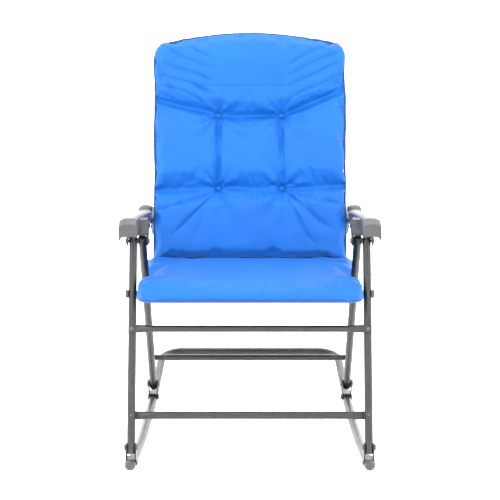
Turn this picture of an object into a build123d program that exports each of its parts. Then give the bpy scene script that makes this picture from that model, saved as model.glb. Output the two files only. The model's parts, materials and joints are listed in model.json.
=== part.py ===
"""Camp rocking chair: a steel tube frame on rockers, with a padded seat and a padded high back.

Frame: +X is the width, +Y runs from the front edge to the rear, +Z is up.
The origin is the bottom centre of the box that the chair stands in.
Lengths are in millimetres, angles in degrees.
"""
from build123d import *
import math
import os

# ---------------------------------------------------------------- driving dimensions
OVERALL_HEIGHT = 1070.0      # floor to the top of the back pad
OVERALL_DEPTH = 925.0        # front of the rocker tips to the back of the rear rocker tube
ARM_HALF_WIDTH = 339.0       # centre of the chair to the outside of an armrest

# rockers
ROCKER_OD = 25.0
ROCKER_RADIUS = 2350.0       # radius of the rocking arc, at the tube's centreline
ROCKER_BEND = 62.0
CONTACT_Y = 8.0              # the arc touches the floor here, under the centre of mass
TIP_OD = 29.0
TIP_GRIP = 9.0

# legs
LEG_OD = 22.0
FRONT_LEG_X = 311.0
REAR_LEG_X = 286.5
FRONT_FOOT_Y = -420.0
REAR_FOOT_Y = 150.0
FOOT_HEIGHT = 44.0           # a foot pivot above the rocker's centreline
FRONT_LEAN = 24.5            # front leg, back from the vertical
SEAT_PIVOT_RISE = 404.0      # along the front leg from its foot pivot
APEX_RISE = 546.0
BRACKET_LENGTH = 32.0        # along the rocker
PIN_STEP = 9.0               # bracket pins, ahead of and behind the foot pivot
FOOT_TAIL = 15.0             # leg tube beyond its foot pivot
TOP_TAIL = 13.0              # leg tube beyond the apex pivot

# cross tubes
UPPER_CROSS_OD = 18.0
LOWER_CROSS_OD = 20.0
REAR_CROSS_OD = 18.0
UPPER_CROSS_RISE = 310.0
LOWER_CROSS_RISE = 84.0
REAR_CROSS_RISE = 107.0
FLAT_THICK = 5.0             # the pressed end of a cross tube
FLAT_HEIGHT = 22.0
FLAT_LENGTH = 24.0
FLAT_TAPER = 34.0
RIVET_OD = 5.0

# seat and back
SEAT_SLOPE = 7.5             # down to the rear
SEAT_LENGTH = 427.0          # seat pivot to back pivot
SEAT_TUBE_OD = 20.0
SEAT_TUBE_X = 262.0
SEAT_FRONT_REACH = 55.0      # seat tube ahead of the seat pivot
SEAT_BEND = 45.0
BACK_TUBE_OD = 20.0
BACK_TUBE_X = 238.0
BACK_LEAN = 19.0
BACK_BEND = 70.0

SEAT_PAD_UNDER = 11.0        # pad below the seat tube's centreline
SEAT_PAD_THICK = 50.0
SEAT_PAD_HALF = 297.0        # between the front legs
SEAT_PAD_REAR_HALF = 270.0   # between the rear legs
SEAT_PAD_OVERHANG = 27.0     # ahead of the seat tube's centreline
SEAT_WIDE_REACH = 70.0       # the wide front part ends this far behind the seat pivot
SEAT_PAD_END = 42.0          # rear edge of the seat pad, ahead of the back pivot
BACK_PAD_FRONT = 50.0        # pad in front of the back tube's centreline
BACK_PAD_REAR = 16.0         # pad behind it
BACK_PAD_HALF = 270.0
BACK_PAD_OVERHANG = 30.0     # above the back tube's centreline
BACK_PAD_GAP = 38.0          # back pivot to the lower edge of the back pad
PAD_ROUND = 14.0
SHOULDER = 58.0
BUTTON_OD = 15.0
BUTTON_X = 92.0
BUTTON_RISES = (445.0, 232.0)

# armrests
ARM_WIDTH = 49.0
ARM_REAR_WIDTH = 41.0
ARM_REAR_INSET = 16.0        # how far the outside comes in at the rear pivot
ARM_NOSE = 142.0             # ahead of the apex pivot
ARM_NOSE_TOP = 76.0          # above the line through the two arm pivots
ARM_REAR_TOP = 40.0
ARM_UNDERSIDE = 26.0
ARM_WALL = 3.5
RIB_DROP = 8.0               # the nose's ribs hang this far below it
HUMP_RADIUS = 44.0
CHEEK_THICK = 4.0

# hardware
TUBE_WALL = 1.5
BOLT_OD = 8.0
BUSH_OD = 16.0
HEAD_OD = 15.0
HEAD_THICK = 4.0
PLATE = 3.0
SLING_THICK = 2.0
STOP_OD = 10.0
STOP_HEAD = 12.0
GAP = 0.4                    # running clearance between pieces that turn
HOLE_PLAY = 0.3              # a hole's extra diameter round its bolt

# ---------------------------------------------------------------- worked-out places
FRONT_END = -OVERALL_DEPTH / 2
REAR_END = OVERALL_DEPTH / 2
FLARE = (FRONT_LEG_X - REAR_LEG_X) / (REAR_FOOT_Y - FRONT_FOOT_Y)
PIVOT_DIAMETER = BOLT_OD + HOLE_PLAY


def rocker_x(y):
    """Half spacing of the rocker sides, which spread towards the front."""
    return REAR_LEG_X + FLARE * (REAR_FOOT_Y - y)


def rocker_z(y):
    """Height of the rocker's centreline."""
    return ROCKER_OD / 2 + ROCKER_RADIUS - math.sqrt(ROCKER_RADIUS**2 - (y - CONTACT_Y) ** 2)


def along(point, angle, distance):
    """Side-view point at a distance, with the angle measured up from +Y."""
    return (
        point[0] + distance * math.cos(math.radians(angle)),
        point[1] + distance * math.sin(math.radians(angle)),
    )


LEG_ANGLE = 90.0 - FRONT_LEAN
FRONT_FOOT = (FRONT_FOOT_Y, rocker_z(FRONT_FOOT_Y) + FOOT_HEIGHT)
REAR_FOOT = (REAR_FOOT_Y, rocker_z(REAR_FOOT_Y) + FOOT_HEIGHT)
SEAT_PIVOT = along(FRONT_FOOT, LEG_ANGLE, SEAT_PIVOT_RISE)
APEX = along(FRONT_FOOT, LEG_ANGLE, APEX_RISE)
BACK_PIVOT = along(SEAT_PIVOT, -SEAT_SLOPE, SEAT_LENGTH)
ARM_PIVOT = along(APEX, -SEAT_SLOPE, SEAT_LENGTH)
REAR_ANGLE = math.degrees(math.atan2(APEX[1] - REAR_FOOT[1], APEX[0] - REAR_FOOT[0]))
REAR_LEG_LENGTH = math.dist(APEX, REAR_FOOT)
BACK_ANGLE = 90.0 - BACK_LEAN
LEAN_SIN = math.sin(math.radians(BACK_LEAN))
LEAN_COS = math.cos(math.radians(BACK_LEAN))
BACK_TOP_DROP = PAD_ROUND * (LEAN_SIN + LEAN_COS - 1)
BACK_RISE = OVERALL_HEIGHT - BACK_PIVOT[1] - BACK_PAD_FRONT * LEAN_SIN + BACK_TOP_DROP
BACK_LENGTH = BACK_RISE / LEAN_COS - BACK_PAD_OVERHANG


# ---------------------------------------------------------------- helpers
def at(x, point):
    """Side-view point to space."""
    return Vector(x, point[0], point[1])


def plane_at(point, angle):
    """Plane whose local x runs up the given angle and whose local z is across, along +X."""
    rad = math.radians(angle)
    return Plane(origin=(0, point[0], point[1]), x_dir=(0, math.cos(rad), math.sin(rad)), z_dir=(1, 0, 0))


SEAT_PLANE = plane_at(SEAT_PIVOT, -SEAT_SLOPE)
BACK_PLANE = plane_at(BACK_PIVOT, BACK_ANGLE)
ARM_PLANE = plane_at(APEX, -SEAT_SLOPE)
LEG_PLANE = plane_at(FRONT_FOOT, LEG_ANGLE)
REAR_PLANE = plane_at(REAR_FOOT, REAR_ANGLE)


def on(plane, x, along_axis, off_axis=0.0):
    """Point in space from a side-view plane's own two lengths and a place across the chair."""
    return plane.from_local_coords(Vector(along_axis, off_axis, x))


def tube(start, end, od, wall=TUBE_WALL):
    """Straight round tube."""
    direction = end - start
    ring = Circle(od / 2) - Circle(od / 2 - wall)
    return extrude(Plane(origin=start, z_dir=direction) * ring, direction.length)


def bent_tube(points, radii, od, wall=TUBE_WALL):
    """Round tube along straight runs that are joined by tangent arcs; wall=None is a full bar."""
    path = FilletPolyline(*points, radius=radii)
    ring = Circle(od / 2)
    if wall is not None:
        ring -= Circle(od / 2 - wall)
    return sweep(Plane(origin=path @ 0, z_dir=path % 0) * ring, path=path)


def across(x0, x1, point, diameter):
    """Round bar across the chair, from x0 to x1, at a side-view point."""
    start = min(x0, x1)
    return extrude(Plane(origin=at(start, point), z_dir=(1, 0, 0)) * Circle(diameter / 2), abs(x1 - x0))


def slab(plane, sketch, x0, x1):
    """Side-view sketch thickened from x0 to x1."""
    return extrude(plane.offset(x0) * sketch, x1 - x0)


def mirrored(shape):
    return mirror(shape, about=Plane.YZ)


def pair(shape):
    """The right-hand piece and its mirror image as one group."""
    return Compound(children=[shape, mirrored(shape)])


def group(shapes):
    return Compound(children=list(shapes))


def bolt(x_head, x_end, point, diameter=BOLT_OD, head_od=HEAD_OD, head_thick=HEAD_THICK):
    """Bolt across the chair: domed head outside x_head, hexagon nut outside x_end."""
    toward = 1 if x_end > x_head else -1
    head = across(x_head - toward * head_thick, x_head, point, head_od)
    rim = head.edges().filter_by(GeomType.CIRCLE).sort_by(Axis.X)[0 if toward > 0 else -1]
    head = fillet(rim, head_thick * 0.6)
    nut_start = min(x_end, x_end + toward * head_thick)
    nut_plane = Plane(origin=at(nut_start, point), z_dir=(1, 0, 0))
    nut = extrude(nut_plane * RegularPolygon(head_od / 2, 6), head_thick)
    return across(x_head, x_end, point, diameter) + head + nut


# ---------------------------------------------------------------- rockers
def arc_slope(y):
    """Slope of the rocking arc, up to the rear."""
    return (y - CONTACT_Y) / math.sqrt(ROCKER_RADIUS**2 - (y - CONTACT_Y) ** 2)


def rocker_points():
    """Right tip to left tip: each side turns at a knee, and the rear is square."""
    rear_y = REAR_END - ROCKER_OD / 2
    arc_end_y = rear_y - ROCKER_BEND * 1.2
    tip_y = FRONT_END + TIP_OD / 2
    front = Vector(rocker_x(tip_y), tip_y, rocker_z(tip_y))
    rear_z = rocker_z(arc_end_y) + arc_slope(arc_end_y) * (rear_y - arc_end_y)
    rear = Vector(rocker_x(rear_y), rear_y, rear_z)
    rise = rear_z - front.Z + arc_slope(tip_y) * tip_y - arc_slope(arc_end_y) * rear_y
    knee_y = rise / (arc_slope(tip_y) - arc_slope(arc_end_y))
    knee = Vector(rocker_x(knee_y), knee_y, front.Z + arc_slope(tip_y) * (knee_y - tip_y))
    side = [front, knee, rear]
    return side + [Vector(-p.X, p.Y, p.Z) for p in reversed(side)]


def rocker_bar(wall):
    """The whole rocker: each side is one long arc, with a bend at each rear corner."""
    points = rocker_points()
    turn = (points[1] - points[0]).get_angle(points[2] - points[1])
    arc = 0.999 * (points[1] - points[0]).length / math.tan(math.radians(turn / 2))
    return bent_tube(points, [arc, ROCKER_BEND, ROCKER_BEND, arc], ROCKER_OD, wall)


ROCKER_SOLID = rocker_bar(None)


def rocker_tip():
    """Ball cap pushed over the open front end of a rocker side."""
    points = rocker_points()
    front_plane = Plane(origin=points[0], z_dir=points[1] - points[0])
    ball = Pos(*points[0]) * Sphere(TIP_OD / 2)
    collar = extrude(front_plane * Circle(TIP_OD / 2 - 0.4), TIP_GRIP)
    return ball + collar - ROCKER_SOLID


# ---------------------------------------------------------------- brackets
def bracket(foot, leg_x):
    """Pressed clevis: two cheeks beside the leg's foot, joined by a saddle over the rocker."""
    inner = LEG_OD / 2 + GAP
    outer = inner + PLATE
    drop = FOOT_HEIGHT
    base = plane_at(foot, 0)
    cheek = make_hull([*Circle(11).edges(), *(Pos(0, -drop + 3) * Rectangle(BRACKET_LENGTH, 10)).edges()])
    floor_top = ROCKER_OD / 2 - FOOT_HEIGHT + PLATE
    floor = Pos(0, floor_top - PLATE / 2) * Rectangle(BRACKET_LENGTH - 2, PLATE)
    body = slab(base, cheek, leg_x - outer, leg_x - inner)
    body += slab(base, cheek, leg_x + inner, leg_x + outer)
    body += slab(base, floor, leg_x - outer, leg_x + outer)
    body -= across(leg_x - outer - 1, leg_x + outer + 1, foot, PIVOT_DIAMETER)
    return body - ROCKER_SOLID


def bracket_rivets():
    """Two pins under each foot that tie the cheeks together through the rocker."""
    reach = LEG_OD / 2 + GAP + PLATE
    pins = []
    for foot, leg_x in ((FRONT_FOOT, FRONT_LEG_X), (REAR_FOOT, REAR_LEG_X)):
        for step in (-PIN_STEP, PIN_STEP):
            centre = (foot[0] + step, rocker_z(foot[0] + step))
            pins.append(bolt(leg_x + reach, leg_x - reach, centre, RIVET_OD, 9.0, 2.5))
    return pins


# ---------------------------------------------------------------- legs and cross tubes
def front_leg():
    start = on(LEG_PLANE, FRONT_LEG_X, -FOOT_TAIL)
    leg = tube(start, on(LEG_PLANE, FRONT_LEG_X, APEX_RISE + TOP_TAIL), LEG_OD)
    for point in (FRONT_FOOT, SEAT_PIVOT, APEX):
        leg -= across(FRONT_LEG_X - LEG_OD, FRONT_LEG_X + LEG_OD, point, PIVOT_DIAMETER)
    return leg


def rear_leg():
    start = on(REAR_PLANE, REAR_LEG_X, -FOOT_TAIL)
    leg = tube(start, on(REAR_PLANE, REAR_LEG_X, REAR_LEG_LENGTH + TOP_TAIL), LEG_OD)
    for point in (REAR_FOOT, APEX):
        leg -= across(REAR_LEG_X - LEG_OD, REAR_LEG_X + LEG_OD, point, PIVOT_DIAMETER)
    return leg


def end_plug(plane, leg_x, rise, outward):
    """Plastic plug with a thin rim over a leg tube's open end."""
    end = Plane(origin=on(plane, leg_x, rise), z_dir=plane.x_dir * outward)
    rim = extrude(end * Circle(LEG_OD / 2 - 0.3), 3.0)
    stem = extrude(end * Circle(LEG_OD / 2 - TUBE_WALL), -6.0)
    return fillet(rim.edges().filter_by(GeomType.CIRCLE).sort_by_distance(end.origin)[-1], 1.5) + stem


def cross_tube(plane, leg_x, rise, side, od):
    """Tube across two legs, pressed flat at both ends and lapped on one face of the legs."""
    centre = on(plane, 0, rise, side * (LEG_OD + FLAT_THICK) / 2)
    end = leg_x + LEG_OD / 2 - 1.0
    flat_start = end - FLAT_LENGTH
    round_end = flat_start - FLAT_TAPER
    section = Plane(origin=centre, x_dir=plane.y_dir, z_dir=(1, 0, 0))
    body = extrude(section.offset(-round_end) * Circle(od / 2), 2 * round_end)
    for way in (-1, 1):
        flat = section.offset(way * flat_start) * RectangleRounded(FLAT_THICK, FLAT_HEIGHT, 2.0)
        rounded = section.offset(way * round_end) * Circle(od / 2)
        body += loft([rounded, flat])
        body += extrude(flat, way * FLAT_LENGTH)
    bore = extrude(section.offset(-round_end) * Circle(od / 2 - TUBE_WALL), 2 * round_end)
    return body - bore


def cross_rivet(plane, leg_x, rise, side):
    """Rivet through a flattened end and the leg, with a domed head on the flattened face."""
    face = (LEG_OD / 2 + FLAT_THICK) * side
    outward = Plane(origin=on(plane, leg_x, rise, face), z_dir=plane.y_dir * side)
    head = extrude(outward * Circle(5.0), 2.5)
    head = fillet(head.edges().filter_by(GeomType.CIRCLE).sort_by_distance(outward.origin)[-1], 1.5)
    return head + extrude(outward * Circle(RIVET_OD / 2), -(LEG_OD + FLAT_THICK))


CROSSES = (
    ("upper_front_cross_tube", LEG_PLANE, FRONT_LEG_X, UPPER_CROSS_RISE, 1, UPPER_CROSS_OD),
    ("lower_front_cross_tube", LEG_PLANE, FRONT_LEG_X, LOWER_CROSS_RISE, -1, LOWER_CROSS_OD),
    ("rear_cross_tube", REAR_PLANE, REAR_LEG_X, REAR_CROSS_RISE, -1, REAR_CROSS_OD),
)


# ---------------------------------------------------------------- seat
def seat_tube_path(wall):
    tail = SEAT_LENGTH + SEAT_TUBE_OD / 2 + 2.0
    points = [
        on(SEAT_PLANE, SEAT_TUBE_X, tail),
        on(SEAT_PLANE, SEAT_TUBE_X, -SEAT_FRONT_REACH),
        on(SEAT_PLANE, -SEAT_TUBE_X, -SEAT_FRONT_REACH),
        on(SEAT_PLANE, -SEAT_TUBE_X, tail),
    ]
    return bent_tube(points, [SEAT_BEND, SEAT_BEND], SEAT_TUBE_OD, wall)


SEAT_BAR = seat_tube_path(None)
SEAT_REAR_REACH = SEAT_LENGTH - SEAT_PAD_END - 20.0


def seat_frame():
    """U tube round the front of the seat."""
    frame = seat_tube_path(TUBE_WALL)
    for point in (SEAT_PIVOT, BACK_PIVOT):
        frame -= across(-SEAT_TUBE_X - 30, SEAT_TUBE_X + 30, point, BOLT_OD)
    return frame


def seat_rear_tube():
    """Straight tube that closes the seat frame in front of the back pivots."""
    start = on(SEAT_PLANE, -SEAT_TUBE_X, SEAT_REAR_REACH)
    return tube(start, on(SEAT_PLANE, SEAT_TUBE_X, SEAT_REAR_REACH), SEAT_TUBE_OD - 2) - SEAT_BAR


def seat_sling():
    """Tight webbing panel under the seat tubes."""
    centre = (SEAT_REAR_REACH - SEAT_FRONT_REACH) / 2
    length = SEAT_REAR_REACH + SEAT_FRONT_REACH
    level = Plane(
        origin=on(SEAT_PLANE, 0, centre, -SEAT_PAD_UNDER),
        x_dir=SEAT_PLANE.x_dir,
        z_dir=-SEAT_PLANE.y_dir,
    )
    return extrude(level * RectangleRounded(length, 2 * SEAT_TUBE_X, 20), SLING_THICK)


def seat_pad():
    """Closed pad round the seat frame, wide in front and narrower between the rear legs."""
    front = -SEAT_FRONT_REACH - SEAT_PAD_OVERHANG
    rear = SEAT_LENGTH - SEAT_PAD_END
    taper = SEAT_PAD_HALF - SEAT_PAD_REAR_HALF
    half = [
        (front, SEAT_PAD_HALF),
        (SEAT_WIDE_REACH, SEAT_PAD_HALF),
        (SEAT_WIDE_REACH + taper * 0.7, SEAT_PAD_REAR_HALF),
        (rear, SEAT_PAD_REAR_HALF),
    ]
    outline = make_face(Polyline(*half, *[(u, -x) for u, x in reversed(half)], close=True))
    corners = outline.vertices().sort_by(Axis.X)
    outline = fillet(corners[:2], SEAT_BEND)
    level = Plane(
        origin=on(SEAT_PLANE, 0, 0, -SEAT_PAD_UNDER),
        x_dir=SEAT_PLANE.x_dir,
        z_dir=SEAT_PLANE.y_dir,
    )
    pad = extrude(level * outline, SEAT_PAD_THICK)
    top = pad.faces().sort_by(SEAT_PLANE_UP)[-1]
    pad = fillet(top.edges(), PAD_ROUND)
    pad -= SEAT_BAR
    rear_bar = Plane(origin=on(SEAT_PLANE, -SEAT_TUBE_X, SEAT_REAR_REACH), z_dir=(1, 0, 0))
    pad -= extrude(rear_bar * Circle(SEAT_TUBE_OD / 2 - 1), 2 * SEAT_TUBE_X)
    for way in (-1, 1):
        pad -= across(way * (SEAT_TUBE_X - 20), way * (SEAT_PAD_HALF + 5), SEAT_PIVOT, BUSH_OD)
    return pad


SEAT_PLANE_UP = Axis(SEAT_PLANE.origin, SEAT_PLANE.y_dir)
SEAT_TUBE_OUT = SEAT_TUBE_X + SEAT_TUBE_OD / 2
SEAT_TUBE_IN = SEAT_TUBE_X - SEAT_TUBE_OD / 2
LEG_OUT = FRONT_LEG_X + LEG_OD / 2
LEG_IN = FRONT_LEG_X - LEG_OD / 2
BACK_TUBE_IN = BACK_TUBE_X - BACK_TUBE_OD / 2
BACK_TUBE_OUT = BACK_TUBE_X + BACK_TUBE_OD / 2


def bush(x0, x1, point):
    """Spacer tube on a bolt."""
    return across(x0, x1, point, BUSH_OD) - across(x0 - 1, x1 + 1, point, BOLT_OD)


def seat_pivot_cap():
    """Black cap over the head of a seat pivot bolt, outside the front leg."""
    x0 = LEG_OUT + GAP
    cap = across(x0, x0 + HEAD_THICK + 4.0, SEAT_PIVOT, 22.0)
    cap = fillet(cap.edges().filter_by(GeomType.CIRCLE).sort_by(Axis.X)[-1], 3.0)
    return cap - bolt(LEG_OUT + GAP, SEAT_TUBE_IN, SEAT_PIVOT)


# ---------------------------------------------------------------- back
def back_tube_path(wall):
    tail = -(BACK_TUBE_OD / 2 + 2.0)
    points = [
        on(BACK_PLANE, BACK_TUBE_X, tail),
        on(BACK_PLANE, BACK_TUBE_X, BACK_LENGTH),
        on(BACK_PLANE, -BACK_TUBE_X, BACK_LENGTH),
        on(BACK_PLANE, -BACK_TUBE_X, tail),
    ]
    return bent_tube(points, [BACK_BEND, BACK_BEND], BACK_TUBE_OD, wall)


BACK_BAR = back_tube_path(None)
BACK_CROSS_RISE = BACK_PAD_GAP + 24.0
GUSSET_OUT = BACK_TUBE_OUT + PLATE


def back_frame():
    """Upside-down U tube round the back."""
    return back_tube_path(TUBE_WALL) - across(-BACK_TUBE_X - 30, BACK_TUBE_X + 30, BACK_PIVOT, PIVOT_DIAMETER)


def back_lower_tube():
    start = on(BACK_PLANE, -BACK_TUBE_X, BACK_CROSS_RISE)
    return tube(start, on(BACK_PLANE, BACK_TUBE_X, BACK_CROSS_RISE), BACK_TUBE_OD - 2) - BACK_BAR


def back_gusset():
    """Plate welded outside a back tube, which carries the rear arm pivot."""
    pivot = BACK_PLANE.to_local_coords(at(0, ARM_PIVOT))
    plate = make_hull(
        [
            *(Pos(pivot.X, pivot.Y) * Circle(12)).edges(),
            *(Pos(pivot.X - 45, 0) * Circle(6)).edges(),
            *(Pos(pivot.X + 45, 0) * Circle(6)).edges(),
        ]
    )
    body = slab(BACK_PLANE, plate, BACK_TUBE_OUT, GUSSET_OUT)
    return body - across(BACK_TUBE_OUT - 5, GUSSET_OUT + 5, ARM_PIVOT, BOLT_OD)


def back_panel(x_start, x_end, half_width, radius):
    """Sketch in the back's own plane: x up the back, y across."""
    length = x_end - x_start
    body = Pos((x_start + x_end) / 2, 0) * Rectangle(length, 2 * half_width)
    top = body.vertices().sort_by(Axis.X)[-2:]
    return fillet(top, radius)


def back_level(off_axis):
    return Plane(
        origin=on(BACK_PLANE, 0, 0, off_axis), x_dir=BACK_PLANE.x_dir, z_dir=BACK_PLANE.y_dir
    )


def back_sling():
    """Tight webbing panel behind the back tubes."""
    outline = back_panel(BACK_CROSS_RISE, BACK_LENGTH, BACK_TUBE_X, BACK_BEND)
    rear = back_level(-BACK_PAD_REAR)
    return extrude(rear * outline, -SLING_THICK)


def back_pad():
    """Closed pad round the back frame, with rounded shoulders."""
    outline = back_panel(BACK_PAD_GAP, BACK_LENGTH + BACK_PAD_OVERHANG, BACK_PAD_HALF, SHOULDER)
    pad = extrude(back_level(-BACK_PAD_REAR) * outline, BACK_PAD_REAR + BACK_PAD_FRONT)
    front = pad.faces().sort_by(Axis(BACK_PLANE.origin, BACK_PLANE.y_dir))[-1]
    pad = fillet(front.edges(), PAD_ROUND)
    pad -= BACK_BAR
    lower_bar = Plane(origin=on(BACK_PLANE, -BACK_TUBE_X, BACK_CROSS_RISE), z_dir=(1, 0, 0))
    pad -= extrude(lower_bar * Circle(BACK_TUBE_OD / 2 - 1), 2 * BACK_TUBE_X)
    recess = Pos(BACK_PLANE.to_local_coords(at(0, ARM_PIVOT)).X, 0) * Rectangle(122, 80)
    for way in (-1, 1):
        inner = way * (BACK_TUBE_OUT - 2.0)
        outer = way * (BACK_PAD_HALF + 10)
        pocket = slab(BACK_PLANE, recess, min(inner, outer), max(inner, outer))
        front_part = slab(BACK_PLANE, Pos(400, 40 + 12) * Rectangle(900, 80), -400, 400)
        pad -= pocket - front_part
    for rise, x in button_places():
        hole = Plane(origin=on(BACK_PLANE, x, rise, BACK_PAD_FRONT), z_dir=BACK_PLANE.y_dir)
        pad -= extrude(hole * Circle(BUTTON_OD / 2 + 1), -12)
    return pad


def button_places():
    return [(rise, way * BUTTON_X) for rise in BUTTON_RISES for way in (-1, 1)]


def tuft_buttons():
    """Covered buttons that pull the back pad in."""
    buttons = []
    for rise, x in button_places():
        seat = Plane(origin=on(BACK_PLANE, x, rise, BACK_PAD_FRONT - 12), z_dir=BACK_PLANE.y_dir)
        button = extrude(seat * Circle(BUTTON_OD / 2), 6.0)
        crown = button.edges().filter_by(GeomType.CIRCLE).sort_by_distance(seat.origin)[-1]
        buttons.append(fillet(crown, 3.0))
    return group(buttons)


# ---------------------------------------------------------------- armrests
PLAN_PLANE = Plane(origin=ARM_PLANE.origin, x_dir=ARM_PLANE.x_dir, z_dir=-ARM_PLANE.y_dir)
ARM_END = SEAT_LENGTH + HUMP_RADIUS + 4.0
CHEEK_OUT = LEG_OUT + 2.0
CHEEK_IN = REAR_LEG_X - LEG_OD / 2 - 1.0
WEB_BOTTOM = LEG_OD / 2 + 8.0


def arm_side():
    """Side outline: a thick nose, a slimmer middle and a round hump over the rear pivot."""
    top_run = SEAT_LENGTH - 95.0
    points = [
        (-ARM_NOSE, ARM_UNDERSIDE + 2),
        (-ARM_NOSE, ARM_NOSE_TOP - 14),
        (-ARM_NOSE + 26, ARM_NOSE_TOP),
        (top_run, ARM_REAR_TOP),
        (SEAT_LENGTH, ARM_REAR_TOP - 6),
        (SEAT_LENGTH, -12),
        (top_run, ARM_UNDERSIDE - 22),
        (60, ARM_UNDERSIDE),
    ]
    return make_face(Polyline(*points, close=True)) + Pos(SEAT_LENGTH, 4) * Circle(HUMP_RADIUS)


def arm_plan():
    """Plan outline: straight at the front, drawn in towards the rear."""
    outer = ARM_HALF_WIDTH
    inner = outer - ARM_WIDTH
    outer_rear = outer - ARM_REAR_INSET
    points = [
        (-ARM_NOSE - 1, inner),
        (-ARM_NOSE - 1, outer),
        (40, outer),
        (ARM_END, outer_rear),
        (ARM_END, outer_rear - ARM_REAR_WIDTH),
        (40, inner),
    ]
    return make_face(Polyline(*points, close=True))


def arm_body(inset):
    side = offset(arm_side(), -inset) if inset else arm_side()
    plan = offset(arm_plan(), -inset) if inset else arm_plan()
    across_block = slab(ARM_PLANE, side, ARM_HALF_WIDTH - 80, ARM_HALF_WIDTH + 10)
    return across_block & extrude(PLAN_PLANE * plan, 200, both=True)


def arm_bracket():
    """Steel clevis under the armrest, on the apex bolt outside both legs."""
    web = Pos(2, WEB_BOTTOM + 3) * Rectangle(70, 6)
    cheek = make_hull([*Circle(12).edges(), *(Pos(2, WEB_BOTTOM + 3) * Rectangle(70, 6)).edges()])
    body = slab(ARM_PLANE, web, CHEEK_IN - CHEEK_THICK, CHEEK_OUT + CHEEK_THICK)
    body += slab(ARM_PLANE, cheek, CHEEK_IN - CHEEK_THICK, CHEEK_IN)
    body += slab(ARM_PLANE, cheek, CHEEK_OUT, CHEEK_OUT + CHEEK_THICK)
    return body - across(CHEEK_IN - 20, CHEEK_OUT + 20, APEX, PIVOT_DIAMETER)


def arm_shell():
    """Moulded armrest, open underneath."""
    cavity = arm_body(ARM_WALL)
    drop = ARM_PLANE.y_dir * (-2 * ARM_WALL)
    shell = arm_body(0) - cavity - Pos(*drop) * cavity
    rib_bottom = ARM_UNDERSIDE - RIB_DROP
    rib_top = ARM_NOSE_TOP - ARM_WALL - 1.0
    rib_sketch = Pos(-ARM_NOSE + 47, (rib_bottom + rib_top) / 2) * Rectangle(50, rib_top - rib_bottom)
    shell += slab(ARM_PLANE, rib_sketch, FRONT_LEG_X + 4, FRONT_LEG_X + 7)
    skirt = Pos(-ARM_NOSE + 25, ARM_UNDERSIDE + 1) * Rectangle(46, 2 * RIB_DROP)
    shell += slab(ARM_PLANE, skirt, ARM_HALF_WIDTH - ARM_WALL, ARM_HALF_WIDTH)
    shell -= across(ARM_HALF_WIDTH - 70, ARM_HALF_WIDTH - 40, ARM_PIVOT, BOLT_OD + 1.0)
    return shell - arm_bracket()


def arm_side_cover():
    """Moulded cover on the inner side of the armrest, over the rear leg's top."""
    outline = make_face(
        Polyline((-40, WEB_BOTTOM + 6), (-40, 62), (-22, 66), (96, 50), (96, 30), (70, WEB_BOTTOM + 6), close=True)
    )
    cover = slab(ARM_PLANE, outline, CHEEK_IN - CHEEK_THICK, ARM_HALF_WIDTH - ARM_WIDTH)
    cover -= arm_body(0)
    return cover


def screw(place, toward, head_od=8.0, length=10.0):
    """Small pan-head screw."""
    seat = Plane(origin=place, z_dir=-toward)
    head = extrude(seat * Circle(head_od / 2), 2.0)
    head = fillet(head.edges().filter_by(GeomType.CIRCLE).sort_by_distance(place)[-1], 1.2)
    return head + extrude(seat * Circle(2.0), -length)


SCREW_PLACES = ((-22.0, 52.0), (28.0, 44.0), (76.0, 40.0))


def arm_screws():
    """Screws through the side cover into the armrest."""
    face = CHEEK_IN - CHEEK_THICK
    return [screw(on(ARM_PLANE, face, u, n), Vector(1, 0, 0)) for u, n in SCREW_PLACES]


# ---------------------------------------------------------------- seat stops
def stop_place():
    """Side-view point on the rear leg that carries the seat tube at rest."""
    low = SEAT_PLANE.to_local_coords(at(0, REAR_FOOT))
    high = SEAT_PLANE.to_local_coords(at(0, APEX))
    level = -(SEAT_PAD_UNDER + SLING_THICK + GAP + STOP_HEAD / 2)
    share = (level - low.Y) / (high.Y - low.Y)
    return (
        REAR_FOOT[0] + share * (APEX[0] - REAR_FOOT[0]),
        REAR_FOOT[1] + share * (APEX[1] - REAR_FOOT[1]),
    )


def seat_stop():
    """Pin through a rear leg, under the seat tube."""
    return bolt(REAR_LEG_X + LEG_OD / 2, SEAT_TUBE_IN - HEAD_THICK, stop_place(), STOP_OD, STOP_HEAD, 2.0)


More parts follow.
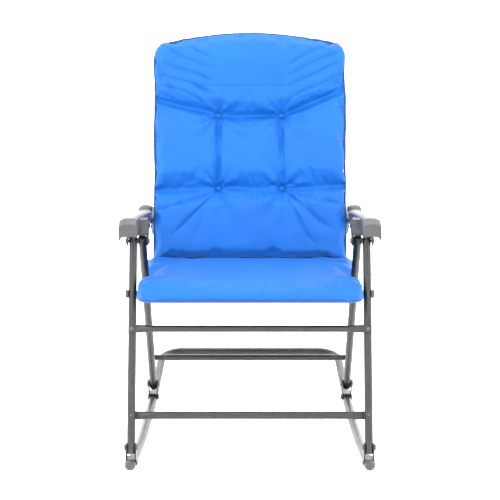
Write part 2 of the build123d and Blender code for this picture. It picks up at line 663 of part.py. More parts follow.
# ---------------------------------------------------------------- assembly
def base_nodes():
    """Rockers, brackets, legs and cross tubes: one rigid, pinned frame."""
    nodes = {"rocker_tube": rocker_bar(TUBE_WALL)}
    feet = {"front": (FRONT_FOOT, FRONT_LEG_X), "rear": (REAR_FOOT, REAR_LEG_X)}
    pins = bracket_rivets()
    nodes["bracket_pins"] = group(pins + [mirrored(pin) for pin in pins])
    pin_bars = group(
        across(leg_x - 30, leg_x + 30, (foot[0] + step, rocker_z(foot[0] + step)), RIVET_OD)
        for foot, leg_x in feet.values()
        for step in (-PIN_STEP, PIN_STEP)
    )
    nodes["rocker_tube"] = nodes["rocker_tube"] - pin_bars - mirrored(pin_bars)

    rivets = {name: cross_rivet(plane, x, rise, side) for name, plane, x, rise, side, od in CROSSES}
    nodes["cross_tube_rivets"] = group([*rivets.values(), *map(mirrored, rivets.values())])
    for name, plane, x, rise, side, od in CROSSES:
        tube_node = cross_tube(plane, x, rise, side, od)
        nodes[name] = tube_node - rivets[name] - mirrored(rivets[name])

    front = front_leg() - rivets["upper_front_cross_tube"] - rivets["lower_front_cross_tube"]
    rear = rear_leg() - rivets["rear_cross_tube"]
    rear -= across(REAR_LEG_X - 20, REAR_LEG_X + 20, stop_place(), STOP_OD)
    sided = {
        "rocker_tip": rocker_tip(),
        "front_bracket": bracket(*feet["front"]) - pin_bars,
        "rear_bracket": bracket(*feet["rear"]) - pin_bars,
        "front_leg": front,
        "rear_leg": rear,
    }
    for name, shape in sided.items():
        nodes[name + "_right"] = shape
        nodes[name + "_left"] = mirrored(shape)

    reach = LEG_OD / 2 + GAP + PLATE
    nodes["front_foot_bolts"] = pair(bolt(FRONT_LEG_X + reach, FRONT_LEG_X - reach, FRONT_FOOT))
    nodes["rear_foot_bolts"] = pair(bolt(REAR_LEG_X + reach, REAR_LEG_X - reach, REAR_FOOT, head_od=20.0))
    nodes["leg_foot_plugs"] = group(
        plug
        for plane, x in ((LEG_PLANE, FRONT_LEG_X), (REAR_PLANE, REAR_LEG_X))
        for plug in pair(end_plug(plane, x, -FOOT_TAIL, -1)).children
    )
    tops = ((LEG_PLANE, FRONT_LEG_X, APEX_RISE), (REAR_PLANE, REAR_LEG_X, REAR_LEG_LENGTH))
    nodes["leg_top_plugs"] = group(
        plug for plane, x, rise in tops for plug in pair(end_plug(plane, x, rise + TOP_TAIL, 1)).children
    )
    nodes["apex_bolts"] = pair(bolt(CHEEK_OUT + CHEEK_THICK, CHEEK_IN - CHEEK_THICK, APEX))
    nodes["apex_washers"] = pair(bush(REAR_LEG_X + LEG_OD / 2, LEG_IN, APEX))
    nodes["seat_stop_pins"] = pair(seat_stop())
    return nodes


def seat_nodes():
    """Seat frame, its pad and the bolts that turn with it."""
    return {
        "seat_frame": seat_frame(),
        "seat_rear_tube": seat_rear_tube(),
        "seat_sling": seat_sling(),
        "seat_cushion": seat_pad(),
        "seat_pivot_bolts": pair(bolt(LEG_OUT + GAP, SEAT_TUBE_IN, SEAT_PIVOT)),
        "seat_pivot_caps": pair(seat_pivot_cap()),
        "seat_pivot_bushes": pair(bush(SEAT_TUBE_OUT, LEG_IN - GAP, SEAT_PIVOT)),
        "back_pivot_bolts": pair(bolt(SEAT_TUBE_OUT, BACK_TUBE_IN - GAP, BACK_PIVOT)),
        "back_pivot_bushes": pair(bush(BACK_TUBE_OUT + GAP, SEAT_TUBE_IN, BACK_PIVOT)),
    }


def back_nodes():
    """Back frame, its pad and the bolts that carry the armrests."""
    hump_in = ARM_HALF_WIDTH - ARM_REAR_INSET - ARM_REAR_WIDTH
    return {
        "back_frame": back_frame(),
        "back_lower_tube": back_lower_tube(),
        "back_gussets": pair(back_gusset()),
        "back_sling": back_sling(),
        "back_cushion": back_pad(),
        "tuft_buttons": tuft_buttons(),
        "arm_rear_bolts": pair(bolt(GUSSET_OUT - PLATE, hump_in + 12.0, ARM_PIVOT, head_thick=1.0)),
        "arm_rear_bushes": pair(bush(GUSSET_OUT, hump_in - 2.0, ARM_PIVOT)),
    }


def arm_nodes():
    """Armrests: a moulded shell, a steel clevis, an inner cover and screws on each side."""
    screws = arm_screws()
    cutters = group(screws)
    right = {
        "armrest": arm_shell() - cutters,
        "arm_bracket": arm_bracket(),
        "arm_side_cover": arm_side_cover() - arm_bracket() - cutters,
        "arm_screws": group(screws),
    }
    nodes = {}
    for name, shape in right.items():
        nodes[name + "_right"] = shape
        nodes[name + "_left"] = mirrored(shape)
    return nodes


os.makedirs("parts", exist_ok=True)
for node_set in (base_nodes(), seat_nodes(), back_nodes(), arm_nodes()):
    for node_name, node_shape in node_set.items():
        export_step(node_shape, f"parts/{node_name}.step")
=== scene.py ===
"""Camp rocking chair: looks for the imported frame. Lengths are in metres."""
import json
import math

import bmesh
import bpy
from mathutils import Matrix, Vector
from mathutils.noise import noise


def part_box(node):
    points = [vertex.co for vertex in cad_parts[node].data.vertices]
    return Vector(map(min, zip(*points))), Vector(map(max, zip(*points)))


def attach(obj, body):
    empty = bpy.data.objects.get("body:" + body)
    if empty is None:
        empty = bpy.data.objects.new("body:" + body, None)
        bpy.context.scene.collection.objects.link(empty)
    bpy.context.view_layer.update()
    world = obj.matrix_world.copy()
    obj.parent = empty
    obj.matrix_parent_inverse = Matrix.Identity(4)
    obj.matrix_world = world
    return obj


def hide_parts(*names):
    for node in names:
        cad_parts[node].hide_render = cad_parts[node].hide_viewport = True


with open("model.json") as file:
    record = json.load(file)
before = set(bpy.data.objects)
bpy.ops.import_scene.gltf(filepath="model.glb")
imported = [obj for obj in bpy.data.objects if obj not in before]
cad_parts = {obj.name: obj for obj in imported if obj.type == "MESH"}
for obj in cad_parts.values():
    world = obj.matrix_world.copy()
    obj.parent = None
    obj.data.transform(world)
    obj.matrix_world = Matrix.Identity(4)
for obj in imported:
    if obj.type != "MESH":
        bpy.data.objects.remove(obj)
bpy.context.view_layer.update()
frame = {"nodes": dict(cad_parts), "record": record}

JOINTS = {joint["name"]: joint for joint in frame["record"]["behaviour"]["joints"]}


# ---------------------------------------------------------------- frame places
def joint_place(name):
    return Vector(JOINTS[name]["pos_m"])


SEAT_PIVOT = joint_place("seat_fold")
BACK_PIVOT = joint_place("back_fold")
SEAT_SLOPE = math.atan2(SEAT_PIVOT.z - BACK_PIVOT.z, BACK_PIVOT.y - SEAT_PIVOT.y)
BACK_LEAN = math.radians(19.0)
PAD_CORNER = Vector(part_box("back_cushion")[1])
SWELL_ROOM = 0.010  # the front of the back pad starts this far in, and the filling takes it out

# back pad, in its own plane: x across, y up the back, z out of its front
BACK_REAR, BACK_FRONT = -0.016, 0.050
BACK_W = PAD_CORNER.x + 0.011
BACK_LOW = 0.030
BACK_RISE = PAD_CORNER.z - BACK_PIVOT.z - BACK_FRONT * math.sin(BACK_LEAN)
BACK_HIGH = BACK_RISE / math.cos(BACK_LEAN) + 0.004
BUTTON_X, UPPER_ROW, LOWER_ROW = 0.092, 0.445, 0.232
BUTTONS = [(side * BUTTON_X, rise) for rise in (UPPER_ROW, LOWER_ROW) for side in (-1, 1)]
SHOULDER = 0.058
FOLD_EDGE = 0.268  # folds fade out at this half width

# seat pad, in its own plane: x across, y from the seat pivot to the rear, z up
SEAT_WIDE, SEAT_NARROW = 0.299, 0.270
SEAT_FRONT_Y, SEAT_REAR_Y = -0.082, 0.394
SEAT_LOW, SEAT_HIGH = -0.011, 0.039
SEAT_CORNER = 0.040


def back_place():
    """From the back pad's own axes to space."""
    up = Vector((0, math.sin(BACK_LEAN), math.cos(BACK_LEAN)))
    out = Vector((0, -math.cos(BACK_LEAN), math.sin(BACK_LEAN)))
    return Matrix.Translation(BACK_PIVOT) @ Matrix((Vector((1, 0, 0)), up, out)).transposed().to_4x4()


def seat_place():
    """From the seat pad's own axes to space."""
    rear = Vector((0, math.cos(SEAT_SLOPE), -math.sin(SEAT_SLOPE)))
    up = Vector((0, math.sin(SEAT_SLOPE), math.cos(SEAT_SLOPE)))
    return Matrix.Translation(SEAT_PIVOT) @ Matrix((Vector((1, 0, 0)), rear, up)).transposed().to_4x4()


# ---------------------------------------------------------------- shader maths
class Wire:
    """A shader value that takes + - * / with numbers and with other values."""

    def __init__(self, tree, socket):
        self.tree = tree
        self.socket = socket

    def math(self, operation, other, swapped=False):
        node = self.tree.nodes.new("ShaderNodeMath")
        node.operation = operation
        ends = (other, self) if swapped else (self, other)
        for slot, end in zip(node.inputs, ends):
            if isinstance(end, Wire):
                self.tree.links.new(end.socket, slot)
            else:
                slot.default_value = end
        return Wire(self.tree, node.outputs[0])

    def __add__(self, other):
        return self.math("ADD", other)

    def __radd__(self, other):
        return self.math("ADD", other, swapped=True)

    def __sub__(self, other):
        return self.math("SUBTRACT", other)

    def __rsub__(self, other):
        return self.math("SUBTRACT", other, swapped=True)

    def __mul__(self, other):
        return self.math("MULTIPLY", other)

    def __rmul__(self, other):
        return self.math("MULTIPLY", other, swapped=True)


class Finish:
    """One material: its node tree, its Principled shader and one way to add nodes."""

    def __init__(self, name, **sockets):
        self.material = bpy.data.materials.new(name)
        self.material.use_nodes = True
        self.tree = self.material.node_tree
        self.shader = self.tree.nodes["Principled BSDF"]
        for socket, value in sockets.items():
            self.shader.inputs[socket.replace("_", " ")].default_value = value
        place = self.tree.nodes.new("ShaderNodeTexCoord")
        self.place = Wire(self.tree, place.outputs["Object"])

    def node(self, kind, output=0, settings=None, **inputs):
        """Add any node: settings first, then sockets by name, or by number as in n6."""
        node = self.tree.nodes.new(kind)
        for key, value in (settings or {}).items():
            setattr(node, key, value)
        for key, value in inputs.items():
            by_number = key[0] == "n" and key[1:].isdigit()
            socket = node.inputs[int(key[1:]) if by_number else key.replace("_", " ")]
            if isinstance(value, Wire):
                self.tree.links.new(value.socket, socket)
            else:
                socket.default_value = value
        return Wire(self.tree, node.outputs[output])

    def noise(self, scale, detail=3.0):
        return self.node("ShaderNodeTexNoise", 0, Vector=self.place, Scale=scale, Detail=detail)

    def blend_colours(self, share, first, second):
        return self.node("ShaderNodeMix", 2, {"data_type": "RGBA"}, n0=share, n6=first, n7=second)

    def feed(self, socket, value):
        self.tree.links.new(value.socket, self.shader.inputs[socket])

    def bump(self, height, strength, distance):
        skin = self.node("ShaderNodeBump", 0, Height=height, Strength=strength, Distance=distance)
        self.feed("Normal", skin)


def rgb(r, g, b):
    return (r, g, b, 1.0)


# ---------------------------------------------------------------- finishes
def powder_coat():
    """Charcoal powder coat with a fine orange-peel skin and a little dust in its gloss."""
    coat = Finish("charcoal_powder_coat", Specular_IOR_Level=0.32, Coat_Weight=0.08, Coat_Roughness=0.25)
    cloud = coat.noise(9.0)
    coat.feed("Base Color", coat.blend_colours(cloud, rgb(0.006, 0.006, 0.007), rgb(0.012, 0.012, 0.013)))
    coat.feed("Roughness", 0.27 + 0.16 * coat.noise(38.0))
    coat.bump(coat.noise(900.0, 2.0) + 0.6 * coat.noise(2200.0, 1.0), 0.22, 0.0006)
    return coat.material


def black_plastic():
    """Moulded black plastic with a fine spark-eroded grain."""
    plastic = Finish("moulded_black_plastic", Specular_IOR_Level=0.45)
    cloud = plastic.noise(14.0)
    shade = plastic.blend_colours(cloud, rgb(0.020, 0.020, 0.022), rgb(0.032, 0.032, 0.034))
    plastic.feed("Base Color", shade)
    plastic.feed("Roughness", 0.36 + 0.14 * plastic.noise(60.0))
    grain = plastic.node("ShaderNodeTexVoronoi", 0, Vector=plastic.place, Scale=1500.0)
    plastic.bump(grain + plastic.noise(1100.0), 0.25, 0.0004)
    return plastic.material


def dark_zinc():
    """Black-zinc bolts, slightly worn on the crowns."""
    zinc = Finish("black_zinc", Metallic=0.85)
    wear = zinc.noise(260.0, 4.0)
    zinc.feed("Base Color", zinc.blend_colours(wear, rgb(0.035, 0.035, 0.038), rgb(0.12, 0.12, 0.125)))
    zinc.feed("Roughness", 0.30 + 0.20 * wear)
    zinc.bump(zinc.noise(1500.0), 0.15, 0.0003)
    return zinc.material


def weave_height(finish, pitch):
    """Plain weave on the piece's own UV map, which is in metres."""
    uv = finish.node("ShaderNodeUVMap", 0, {"uv_map": "cloth"})
    parts = finish.tree.nodes.new("ShaderNodeSeparateXYZ")
    finish.tree.links.new(uv.socket, parts.inputs[0])
    turns = 2 * math.pi / pitch
    warp = (Wire(finish.tree, parts.outputs[0]) * turns).math("SINE", 0.0)
    weft = (Wire(finish.tree, parts.outputs[1]) * turns).math("SINE", 0.0)
    return warp * weft


def blue_cloth():
    """Royal-blue polyester with a soft satin bloom and a fine weave."""
    cloth = Finish("royal_blue_polyester", Sheen_Weight=0.06, Sheen_Roughness=0.4, Specular_IOR_Level=0.22)
    cloth.shader.inputs["Sheen Tint"].default_value = rgb(0.35, 0.55, 1.0)
    cloud = cloth.noise(7.0, 5.0)
    mottle = cloth.noise(320.0, 3.0)
    share = cloud * 0.55 + mottle * 0.45
    cloth.feed("Base Color", cloth.blend_colours(share, rgb(0.000, 0.052, 0.250), rgb(0.000, 0.100, 0.400)))
    cloth.feed("Roughness", 0.50 + 0.16 * cloud)
    height = 0.5 * weave_height(cloth, 0.0011) + cloth.noise(1400.0, 2.0) + 1.6 * cloth.noise(150.0, 3.0)
    cloth.bump(height, 0.30, 0.0007)
    return cloth.material


def binding_and_painted_shade_cloth():
    """Darker blue binding round the back pad; the same dark blue round the seat pad's bottom edge is painted
    shade of its underside roll.
    """
    tape = Finish("navy_binding_and_painted_shade", Sheen_Weight=0.15, Specular_IOR_Level=0.3)
    speck = tape.noise(700.0, 3.0)
    # dark blue for the back pad's binding and for the painted shade band round the seat pad's bottom edge
    tape.feed("Base Color", tape.blend_colours(speck, rgb(0.000, 0.022, 0.110), rgb(0.000, 0.040, 0.180)))
    tape.feed("Roughness", 0.55 + 0.2 * speck)
    tape.bump(tape.noise(1900.0), 0.4, 0.0005)
    return tape.material


def webbing():
    """Coarse black woven panel that carries the pads."""
    web = Finish("black_webbing", Specular_IOR_Level=0.3)
    warp = web.node("ShaderNodeTexWave", 0, {"bands_direction": "X"}, Vector=web.place, Scale=230.0)
    weft = web.node("ShaderNodeTexWave", 0, {"bands_direction": "Z"}, Vector=web.place, Scale=230.0)
    height = warp * weft
    web.feed("Base Color", web.blend_colours(height, rgb(0.010, 0.010, 0.012), rgb(0.030, 0.030, 0.034)))
    web.feed("Roughness", 0.85 - 0.15 * height)
    web.bump(height, 0.5, 0.0008)
    return web.material


COAT = powder_coat()
PLASTIC = black_plastic()
ZINC = dark_zinc()
BLUE = blue_cloth()
BINDING_AND_PAINTED_SHADE = binding_and_painted_shade_cloth()
WEB = webbing()

CAD_FINISHES = {
    COAT: (
        "rocker_tube", "front_bracket", "rear_bracket", "front_leg", "rear_leg", "upper_front_cross_tube",
        "lower_front_cross_tube", "rear_cross_tube", "seat_frame", "seat_rear_tube", "back_frame",
        "back_lower_tube", "back_gussets", "arm_bracket",
    ),
    PLASTIC: (
        "rocker_tip", "leg_foot_plugs", "leg_top_plugs", "seat_pivot_caps", "seat_pivot_bushes",
        "back_pivot_bushes", "arm_rear_bushes", "arm_side_cover",
    ),
    ZINC: (
        "bracket_pins", "cross_tube_rivets", "front_foot_bolts", "rear_foot_bolts", "apex_bolts",
        "apex_washers", "seat_stop_pins", "seat_pivot_bolts", "back_pivot_bolts", "arm_rear_bolts",
        "arm_screws",
    ),
    WEB: ("seat_sling", "back_sling"),
}


def finish_cad_nodes():
    """Give every carried-over CAD node its finish."""
    finish_of = {name: finish for finish, names in CAD_FINISHES.items() for name in names}
    for node in frame["nodes"]:
        plain = node.removesuffix("_left").removesuffix("_right")
        if plain in finish_of:
            piece = bpy.data.objects[node]
            piece.data.materials.clear()
            piece.data.materials.append(finish_of[plain])


# ---------------------------------------------------------------- mesh helpers
def deselect():
    bpy.ops.object.select_all(action="DESELECT")


def use(piece):
    deselect()
    piece.select_set(True)
    bpy.context.view_layer.objects.active = piece


def apply(piece, name):
    use(piece)
    bpy.ops.object.modifier_apply(modifier=name)


def modifier(piece, kind, **settings):
    """Add one modifier, set it and apply it."""
    mod = piece.modifiers.new(kind.lower(), kind)
    for key, value in settings.items():
        setattr(mod, key, value)
    apply(piece, mod.name)


def cube_block(name, low, high, cuts):
    """Cube at its size and place, cut into a grid by edit-mode subdivision."""
    deselect()
    centre = (Vector(low) + Vector(high)) / 2
    bpy.ops.mesh.primitive_cube_add(size=1, location=centre)
    block = bpy.context.object
    block.name = name
    block.scale = Vector(high) - Vector(low)
    bpy.ops.object.transform_apply(location=True, rotation=True, scale=True)
    bpy.ops.object.mode_set(mode="EDIT")
    bpy.ops.mesh.select_all(action="SELECT")
    bpy.ops.mesh.subdivide(number_cuts=cuts)
    bpy.ops.object.mode_set(mode="OBJECT")
    return block


def smoothstep(x):
    x = min(1.0, max(0.0, x))
    return x * x * (3 - 2 * x)


def near_segment(point, start, end):
    """Distance from a point to a segment, both in a pad's own plane."""
    line = Vector(end) - Vector(start)
    share = min(1.0, max(0.0, (Vector(point) - Vector(start)).dot(line) / line.length_squared))
    return (Vector(point) - Vector(start) - line * share).length


def fade(value, start, width):
    """0 up to start, 1 from start + width on."""
    return smoothstep((value - start) / width)


def wander(x, y, scale, seed):
    """Smooth noise over a pad's own plane."""
    return noise(Vector((x * scale, y * scale, seed)))


def bell(distance, width):
    return math.exp(-((distance / width) ** 2))


def swell(piece, held, cloth_growth, pressure, cap, frames=22):
    """Fill a closed cover with cloth simulation; held gives how firmly each vertex stays put."""
    rest = [vertex.co.copy() for vertex in piece.data.vertices]
    group = piece.vertex_groups.new(name="held")
    for vertex in piece.data.vertices:
        weight = held(vertex.co)
        if weight > 0:
            group.add([vertex.index], weight, "REPLACE")
    use(piece)
    mod = piece.modifiers.new("cloth", "CLOTH")
    cloth = mod.settings
    cloth.quality = 6
    cloth.mass = 0.25
    cloth.tension_stiffness = 18
    cloth.compression_stiffness = 14
    cloth.shear_stiffness = 8
    cloth.bending_stiffness = 0.35
    cloth.use_pressure = True
    cloth.uniform_pressure_force = pressure
    cloth.effector_weights.gravity = 0
    cloth.vertex_group_mass = "held"
    cloth.pin_stiffness = 1.0
    cloth.shrink_min = -cloth_growth
    mod.collision_settings.use_collision = False
    for step in range(1, frames + 1):
        bpy.context.scene.frame_set(step)
    apply(piece, "cloth")
    bpy.context.scene.frame_set(1)
    for vertex, start in zip(piece.data.vertices, rest):
        move = vertex.co - start
        if move.length > cap:
            vertex.co = start + move * (cap / move.length)
    piece.vertex_groups.clear()


def own_cloth_map(piece):
    """UV map in metres over the pad's own plane, before the pad is put in place."""
    layer = piece.data.uv_layers.new(name="cloth")
    for loop in piece.data.loops:
        place = piece.data.vertices[loop.vertex_index].co
        normal = piece.data.vertices[loop.vertex_index].normal
        if abs(normal.z) > 0.5:
            layer.data[loop.index].uv = (place.x, place.y)
        elif abs(normal.x) > abs(normal.y):
            layer.data[loop.index].uv = (place.z, place.y)
        else:
            layer.data[loop.index].uv = (place.x, place.z)


def raise_folds(pad, folds):
    """Add folds to the side of a pad that faces out."""
    facing = [vertex.normal.z for vertex in pad.data.vertices]
    for vertex, out in zip(pad.data.vertices, facing):
        if out > 0.2:
            vertex.co.z += fade(out, 0.2, 0.4) * folds(vertex.co.x, vertex.co.y)


def settle(piece, place, body, finish, *replaced):
    """Put a finished soft piece in its place on a body."""
    piece.data.transform(place)
    piece.data.materials.clear()
    piece.data.materials.append(finish)
    use(piece)
    bpy.ops.object.shade_smooth()
    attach(piece, body)
    if replaced:
        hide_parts(*replaced)


# ---------------------------------------------------------------- back pad
CREASE_X = 0.276  # sewn rows run out to here
BACK_CREASES = [  # start, end, depth
    ((-CREASE_X, 0.492), (-BUTTON_X, UPPER_ROW), 0.016),
    ((-BUTTON_X, UPPER_ROW), (BUTTON_X, UPPER_ROW), 0.021),
    ((BUTTON_X, UPPER_ROW), (CREASE_X, 0.520), 0.016),
    ((-CREASE_X, 0.226), (-BUTTON_X, LOWER_ROW), 0.015),
    ((-BUTTON_X, LOWER_ROW), (BUTTON_X, LOWER_ROW), 0.014),
    ((BUTTON_X, LOWER_ROW), (CREASE_X, 0.240), 0.015),
    ((-BUTTON_X, LOWER_ROW), (-BUTTON_X, UPPER_ROW), 0.009),
    ((BUTTON_X, LOWER_ROW), (BUTTON_X, UPPER_ROW), 0.009),
]
CREASE_WIDTH = 0.011
DIMPLE_DEPTH, DIMPLE_WIDTH = 0.026, 0.017
HEAD_CROWN, HEAD_CENTRE, HEAD_SPREAD = 0.015, 0.600, 0.062
HEAD_SEAM = 0.527


def corner_cut(over, radius):
    """How much a round corner takes off a half width, at a distance into the corner."""
    if over <= 0:
        return 0.0
    return radius - math.sqrt(max(0.0, radius**2 - min(over, radius) ** 2))


def back_edge(y):
    """Half width of the back pad at a height, round its shoulders and flared a little at the foot."""
    half = BACK_W - 0.002 + 0.006 * smoothstep((0.12 - y) / 0.12)
    return half - corner_cut(y - (BACK_HIGH - SHOULDER), SHOULDER)


def crease_pull(place):
    """How deep the seams and buttons pull the front of the back pad in."""
    spot = Vector(place)
    pulls = [
        depth * bell(near_segment(place, start, end), CREASE_WIDTH)
        for start, end, depth in BACK_CREASES
    ]
    pulls += [DIMPLE_DEPTH * bell((spot - Vector(button)).length, DIMPLE_WIDTH) for button in BUTTONS]
    return max(pulls)


def button_rays(x, y):
    """Short rays round each button."""
    height = 0.0
    for button, (bx, by) in enumerate(BUTTONS):
        dx, dy = x - bx, y - by
        swirl = 1.7 * button + 2.0 * wander(dx, dy, 9, button)
        rays = math.sin(math.atan2(dy, dx) * 9 + swirl)
        height += 0.0026 * rays * bell(math.hypot(dx, dy) - 0.045, 0.050)
    return height


def valley(phase):
    """Narrow valleys with broad rounded tops between them."""
    return (1 - abs(math.sin(phase))) ** 2


def head_folds(x, y):
    """Valleys that slant down from the sides of the headrest to the upper buttons."""
    half = abs(x)
    side = fade(half, 0.085, 0.06)
    head = smoothstep((y - 0.440 - 0.18 * half) / 0.03) * smoothstep((0.655 - y) / 0.03)
    slant = (y - 0.48 * half) * 92 + 2.2 * wander(x, y, 8, 4.0) + 0.7 * math.copysign(1, x)
    deep = 0.55 + 0.9 * abs(wander(x, y, 11, 6.0))
    return 0.0085 * deep * side * head * valley(slant) * smoothstep((FOLD_EDGE - half) / 0.02)


def head_crown(x, y):
    """Rounded headrest with one faint seam under it."""
    level = smoothstep((0.20 - abs(x)) / 0.07)
    return level * (HEAD_CROWN * bell(y - HEAD_CENTRE, HEAD_SPREAD) - 0.0018 * bell(y - HEAD_SEAM, 0.0035))


def foot_folds(x, y):
    """Long valleys that fan down and out from the lower buttons."""
    out, down = abs(x) - BUTTON_X, LOWER_ROW - y
    reach, angle = math.hypot(out, down), math.atan2(down, out)
    window = fade(angle, 0.10, 0.15) * smoothstep((1.20 - angle) / 0.15)
    span = fade(reach, 0.015, 0.03) * smoothstep((0.215 - reach) / 0.07)
    span *= smoothstep((FOLD_EDGE - abs(x)) / 0.02)
    phase = angle * 8.5 + 1.2 * wander(x, y, 8, 4.0) + 0.5 * math.copysign(1, x)
    return 0.0075 * window * span * valley(phase)


def back_folds(x, y):
    folds = button_rays(x, y) - head_folds(x, y) + head_crown(x, y) - foot_folds(x, y)
    return folds + 0.0022 * wander(x, y, 22, 2.0)


def back_cover():
    """Crowned back pad, tufted by four buttons and two sewn rows."""
    front = BACK_FRONT - SWELL_ROOM
    pad = cube_block("back_pad", (-BACK_W, BACK_LOW, BACK_REAR), (BACK_W, BACK_HIGH, front), 47)
    middle = (BACK_REAR + BACK_FRONT - SWELL_ROOM) / 2
    for vertex in pad.data.vertices:
        x, y, z = vertex.co
        across = x / BACK_W
        bulge = (z - middle) / (front - middle)
        crown = 0.026 * (1 - across**2) - 0.003 if y > BACK_HIGH - 0.08 else 0.0
        lift = crown * smoothstep((y - BACK_HIGH + 0.08) / 0.08)
        rise = y - 0.010 + lift - 0.004 * bulge**2
        vertex.co = (across * (back_edge(y) - 0.006 * bulge**2), rise, z)
    modifier(pad, "BEVEL", width=0.016, segments=4, limit_method="ANGLE", angle_limit=math.radians(50))
    modifier(pad, "REMESH", mode="VOXEL", voxel_size=0.0052, adaptivity=0)
    for vertex in pad.data.vertices:
        x, y, z = vertex.co
        if z > middle:
            vertex.co.z -= fade(z, middle, 0.016) * crease_pull((x, y))

    def held(co):
        sewn = co.z > middle and crease_pull((co.x, co.y)) > 0.009
        return 1.0 if sewn or co.z < BACK_REAR + 0.004 else 0.0

    swell(pad, held, 0.045, 4.2, 0.014)
    modifier(pad, "SUBSURF", levels=1, render_levels=1)
    raise_folds(pad, back_folds)
    own_cloth_map(pad)
    settle(pad, back_place(), "back", BLUE, "back_cushion")
    return pad


# ---------------------------------------------------------------- seat pad
def seat_edge(y):
    """Half width of the seat pad, drawn in only where the rear legs pass."""
    notch = smoothstep((y - 0.062) / 0.040) * smoothstep((0.232 - y) / 0.040)
    half = SEAT_WIDE - (SEAT_WIDE - SEAT_NARROW) * notch
    return half - corner_cut(SEAT_FRONT_Y + SEAT_CORNER - y, SEAT_CORNER)


def seat_folds(x, y):
    """Low ripples, with small folds at the sides."""
    side = smoothstep((abs(x) - 0.16) / 0.08)
    folds = math.sin((y + 0.7 * abs(x)) * 105 + 3 * wander(x, y, 6, 1.0))
    return 0.0018 * wander(x, y, 14, 5.0) + 0.0022 * side * folds


def seat_cover():
    """Crowned seat pad with a rolled front edge."""
    top = SEAT_HIGH - 0.009
    pad = cube_block("seat_pad", (-1, SEAT_FRONT_Y, SEAT_LOW), (1, SEAT_REAR_Y, top), 47)
    for vertex in pad.data.vertices:
        vertex.co.x *= seat_edge(vertex.co.y) - 0.003
    modifier(pad, "BEVEL", width=0.012, segments=4, limit_method="ANGLE", angle_limit=math.radians(50))
    modifier(pad, "REMESH", mode="VOXEL", voxel_size=0.0050, adaptivity=0)

    def held(co):
        ridge = co.y < SEAT_FRONT_Y + 0.006 and abs(co.z - 0.016) < 0.003
        return 1.0 if ridge or co.z < SEAT_LOW + 0.004 else 0.0

    swell(pad, held, 0.020, 3.6, 0.013)
    modifier(pad, "SUBSURF", levels=1, render_levels=1)
    raise_folds(pad, seat_folds)
    own_cloth_map(pad)
    settle(pad, seat_place(), "seat", BLUE, "seat_cushion")
    return pad


# ---------------------------------------------------------------- piping, painted shade band and buttons
def piping_and_painted_shade_band(name, points, radius, place, body):
    """Closed round cord along a loop of points in a pad's own axes: binding at the back pad, painted shade
    band at the seat pad's bottom edge.
    """
    curve = bpy.data.curves.new(name, "CURVE")
    curve.dimensions = "3D"
    curve.bevel_depth = radius
    curve.bevel_resolution = 3
    spline = curve.splines.new("POLY")
    spline.points.add(len(points) - 1)
    for slot, point in zip(spline.points, points):
        slot.co = (*point, 1)
    spline.use_cyclic_u = True
    cord = bpy.data.objects.new(name, curve)
    bpy.context.collection.objects.link(cord)
    use(cord)
    bpy.ops.object.convert(target="MESH")
    cord = bpy.context.object
    settle(cord, place, body, BINDING_AND_PAINTED_SHADE)


def outline(pad, place, depth, steps=140):
    """Points round a finished pad's own edge, at one depth of its thickness."""
    inward = place.inverted()
    band = [inward @ vertex.co for vertex in pad.data.vertices]
    band = [point for point in band if abs(point.z - depth) < 0.006]
    wide = max(point.x for point in band)
    low, high = min(point.y for point in band), max(point.y for point in band)
    far = {}
    for point in band:
        across, up = point.x / wide, (2 * point.y - low - high) / (high - low)
        turn = int((math.atan2(up, across) / (2 * math.pi) + 0.5) * steps) % steps
        far[turn] = max(far.get(turn, (0.0, 0.0, 0.0)), (math.hypot(across, up), point.x, point.y))
    points = [far[turn][1:] for turn in sorted(far)]
    for _ in range(3):
        points = [
            ((a[0] + 2 * b[0] + c[0]) / 4, (a[1] + 2 * b[1] + c[1]) / 4)
            for a, b, c in zip(points[-1:] + points[:-1], points, points[1:] + points[:1])
        ]
    return [(x, y, depth) for x, y in points]


BUTTON_RADIUS = 0.0078


def tuft_button(name, x, rise):
    """Domed cloth button with a rolled rim, sunk in its dimple."""
    deselect()
    bpy.ops.mesh.primitive_uv_sphere_add(segments=32, ring_count=16, radius=BUTTON_RADIUS, location=(0, 0, 0))
    button = bpy.context.object
    button.name = name
    for vertex in button.data.vertices:
        vertex.co.z *= 0.5
        if vertex.co.z > 0:
            rim = math.hypot(vertex.co.x, vertex.co.y) / BUTTON_RADIUS
            vertex.co.z -= 0.0012 * bell(rim - 0.72, 0.12)
    button.data.transform(Matrix.Translation((x, rise, BACK_FRONT - 0.028)))
    modifier(button, "SUBSURF", levels=1, render_levels=1)
    layer = button.data.uv_layers.active
    layer.name = "cloth"
    for loop in button.data.loops:
        place = button.data.vertices[loop.vertex_index].co
        layer.data[loop.index].uv = (place.x, place.y)
    return button


def tuft_buttons():
    """Four covered buttons, joined in one piece."""
    buttons = [tuft_button(f"button_{i}", x, rise) for i, (x, rise) in enumerate(BUTTONS)]
    deselect()
    for button in buttons:
        button.select_set(True)
    bpy.context.view_layer.objects.active = buttons[0]
    bpy.ops.object.join()
    settle(buttons[0], back_place(), "back", BLUE, "tuft_buttons")


# ---------------------------------------------------------------- armrests
ARM_SLICE = 0.004
EDGE_DROP, HUMP_DROP = 0.007, 0.015


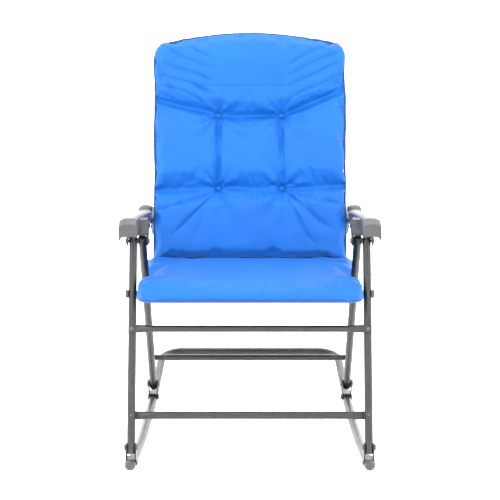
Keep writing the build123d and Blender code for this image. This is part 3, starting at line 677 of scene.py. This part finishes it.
def crown_arm(piece):
    """Round the top of an armrest across its width, and the hump at its rear the most."""
    slices = {}
    for vertex in piece.data.vertices:
        slices.setdefault(round(vertex.co.y / ARM_SLICE), []).append(vertex)
    tops = {key: max(vertex.co.z for vertex in group) for key, group in slices.items()}
    keys = sorted(slices)
    flat = max(tops[key] for key in keys[: int(len(keys) * 0.45)])
    for key, group in slices.items():
        skin = [vertex.co.x for vertex in group if vertex.co.z > tops[key] - 0.010]
        middle, half = (min(skin) + max(skin)) / 2, max(0.008, (max(skin) - min(skin)) / 2)
        hump = smoothstep((tops[key] - flat - 0.003) / 0.015)
        for vertex in group:
            across = min(1.0, abs(vertex.co.x - middle) / half)
            near_top = math.exp(-(tops[key] - vertex.co.z) / 0.016)
            vertex.co.z -= (EDGE_DROP + HUMP_DROP * hump) * across**2.6 * near_top


def armrest(side):
    """Armrest with soft moulded edges, taken from its CAD shell."""
    node = "armrest_" + side
    piece = bpy.data.objects[node].copy()
    piece.data = piece.data.copy()
    piece.name = "arm_moulding_" + side
    bpy.context.collection.objects.link(piece)
    use(piece)
    bpy.ops.object.mode_set(mode="EDIT")
    bpy.ops.mesh.select_all(action="SELECT")
    bpy.ops.mesh.remove_doubles(threshold=0.00002)
    bpy.ops.object.mode_set(mode="OBJECT")
    modifier(piece, "REMESH", mode="VOXEL", voxel_size=0.0019, adaptivity=0)
    modifier(piece, "SMOOTH", factor=0.6, iterations=9)
    crown_arm(piece)
    modifier(piece, "DECIMATE", ratio=0.55)
    piece.data.materials.clear()
    piece.data.materials.append(PLASTIC)
    use(piece)
    bpy.ops.object.shade_smooth()
    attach(piece, "arm_" + side)
    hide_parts(node)


# ---------------------------------------------------------------- stage
def floor():
    """Pale floor that glows a little and curves up into a plain backdrop."""
    deselect()
    bpy.ops.mesh.primitive_plane_add(size=14, location=(0, 1.0, 0))
    ground = bpy.context.object
    ground.name = "pale_floor"
    bpy.ops.object.transform_apply(location=True)
    bpy.ops.object.mode_set(mode="EDIT")
    mesh = bmesh.from_edit_mesh(ground.data)
    for edge in mesh.edges:
        edge.select = all(vertex.co.y > 7.9 for vertex in edge.verts)
    bmesh.update_edit_mesh(ground.data)
    bpy.ops.mesh.extrude_region_move(TRANSFORM_OT_translate={"value": (0, 0, 9)})
    bpy.ops.object.mode_set(mode="OBJECT")
    bevel = ground.modifiers.new("sweep", "BEVEL")
    bevel.width = 3.0
    bevel.segments = 24
    apply(ground, "sweep")
    bpy.ops.object.shade_smooth()
    paper = Finish("pale_floor", Roughness=0.85)
    paper.shader.inputs["Base Color"].default_value = rgb(0.90, 0.90, 0.90)
    paper.shader.inputs["Emission Color"].default_value = rgb(1, 1, 1)
    paper.shader.inputs["Emission Strength"].default_value = 0.80
    ground.data.materials.append(paper.material)


def soft_light(name, place, aim, size, power):
    """Large softbox that faces a point."""
    data = bpy.data.lights.new(name, "AREA")
    data.shape = "DISK"
    data.size = size
    data.energy = power
    light = bpy.data.objects.new(name, data)
    light.location = place
    light.rotation_euler = (Vector(aim) - Vector(place)).to_track_quat("-Z", "Y").to_euler()
    bpy.context.collection.objects.link(light)


def studio():
    """Soft key from the upper left, three weaker lights and a faint even sky."""
    soft_light("key", (-2.4, -3.2, 3.6), (0, 0, 0.5), 2.0, 78)
    soft_light("fill", (3.0, -2.6, 2.2), (0, 0, 0.5), 2.4, 18)
    soft_light("top", (0, 0.4, 4.2), (0, 0, 0.4), 2.6, 34)
    soft_light("rim", (0.6, 3.2, 2.6), (0, 0, 0.7), 2.0, 18)
    world = bpy.data.worlds.new("studio")
    world.use_nodes = True
    world.node_tree.nodes["Background"].inputs["Color"].default_value = rgb(1, 1, 1)
    world.node_tree.nodes["Background"].inputs["Strength"].default_value = 0.16
    bpy.context.scene.world = world
    bpy.context.scene.view_settings.view_transform = "Standard"


def camera():
    """Straight on from the front, a little above the seat, looking down."""
    pitch = math.radians(16.0)
    distance = 4.5
    data = bpy.data.cameras.new("front_view")
    data.sensor_width = 36.0
    data.lens = 115.9
    data.shift_y = 0.0088
    view = bpy.data.objects.new("front_view", data)
    view.location = (0, -distance * math.cos(pitch), 0.5 + distance * math.sin(pitch))
    view.rotation_euler = (math.radians(90) - pitch, 0, 0)
    bpy.context.collection.objects.link(view)
    bpy.context.scene.camera = view


# ---------------------------------------------------------------- making
camera()
studio()
floor()
finish_cad_nodes()
back_pad = back_cover()
seat_pad = seat_cover()
tuft_buttons()
piping_and_painted_shade_band("back_piping", outline(back_pad, back_place(), 0.030), 0.0032, back_place(), "back")
# dark band round the seat pad's bottom edge: painted shade of the pad's underside roll, drawn as a cord
piping_and_painted_shade_band("seat_painted_shade_band", outline(seat_pad, seat_place(), -0.004), 0.0036, seat_place(), "seat")
for side in ("left", "right"):
    armrest(side)
